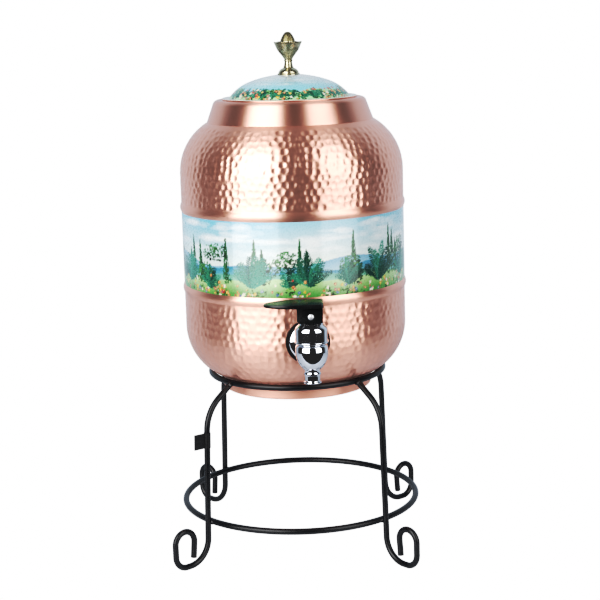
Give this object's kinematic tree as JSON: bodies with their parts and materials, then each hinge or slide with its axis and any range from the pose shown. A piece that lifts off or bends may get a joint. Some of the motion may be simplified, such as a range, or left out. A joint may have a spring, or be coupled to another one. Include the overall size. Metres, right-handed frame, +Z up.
{
  "type": "copper water dispenser",
  "caption": "Round copper water pot with a printed band, a domed lid with a brass finial and a chrome lever tap, standing in a black bar stand on scroll feet.",
  "frame": {"origin": "on the floor at the stand's centre, under the pot's axis", "axes": "+Z up along the pot's axis; the tap points to -Y; +X is to the right when facing the tap"},
  "size_m": [0.2572, 0.2807, 0.4868],
  "materials": {
    "black_paint": "satin",
    "black_tape": "matte",
    "hammered_copper": "hammered and polished",
    "smooth_copper": "polished",
    "band_print": "gloss",
    "lid_print": "gloss",
    "chrome": "polished",
    "black_rubber": "matte",
    "steel": "satin",
    "spring_steel": "drawn",
    "silicone": "matte",
    "black_plastic": "gloss",
    "antique_brass": "aged"
  },
  "bodies": {
    "stand": {"top_ring": "black_paint", "bottom_ring": "black_paint", "front_left_leg": "black_paint", "front_right_leg": "black_paint", "back_left_leg": "black_paint", "back_right_leg": "black_paint", "leg_tag": "black_tape"},
    "pot": {"lower_shell": "hammered_copper", "foot_ring": "smooth_copper", "middle_shell": "smooth_copper", "print_band": "band_print", "upper_shell": "hammered_copper", "neck_collar": "smooth_copper", "tap_body": "chrome", "outer_washer": "black_rubber", "inner_washer": "black_rubber", "back_nut": "steel", "bonnet": "chrome", "valve_spring": "spring_steel"},
    "valve": {"seat_cup": "silicone"},
    "stem": {"stem": "steel"},
    "lever": {"lever": "black_plastic", "lever_pin": "steel"},
    "lid": {"lid_shell": "smooth_copper", "lid_print": "lid_print", "lid_skirt": "smooth_copper", "finial": "antique_brass", "finial_screw": "steel", "finial_washer": "steel"}
  },
  "joints": [
    {"name": "pot_lift", "type": "slide", "parent": "stand", "child": "pot", "axis": [0, 0, 1], "range_m": [0, 0.12]},
    {"name": "lid_lift", "type": "slide", "parent": "pot", "child": "lid", "axis": [0, 0, 1], "range_m": [0, 0.08]},
    {"name": "valve_lift", "type": "slide", "parent": "pot", "child": "valve", "axis": [0, 0, 1], "range_m": [0, 0.0039], "stiffness_N_per_m": 20, "springref_m": -0.0075, "deforming": ["valve_spring"]},
    {"name": "lever_swivel", "type": "hinge", "parent": "valve", "child": "stem", "pos_m": [0, -0.137, 0.23934], "axis": [0, 0, 1], "range_deg": [-14, 206]},
    {"name": "lever_tilt", "type": "hinge", "parent": "stem", "child": "lever", "pos_m": [0, -0.137, 0.24534], "axis": [-0.1045, -0.9945, 0], "range_deg": [0, 25], "stiffness_Nm_per_rad": 0.03, "springref_deg": -45.84}
  ],
  "couplings": [
    {"joint": "lever_tilt", "follows": "valve_lift", "rad_per_m": 111.11}
  ]
}
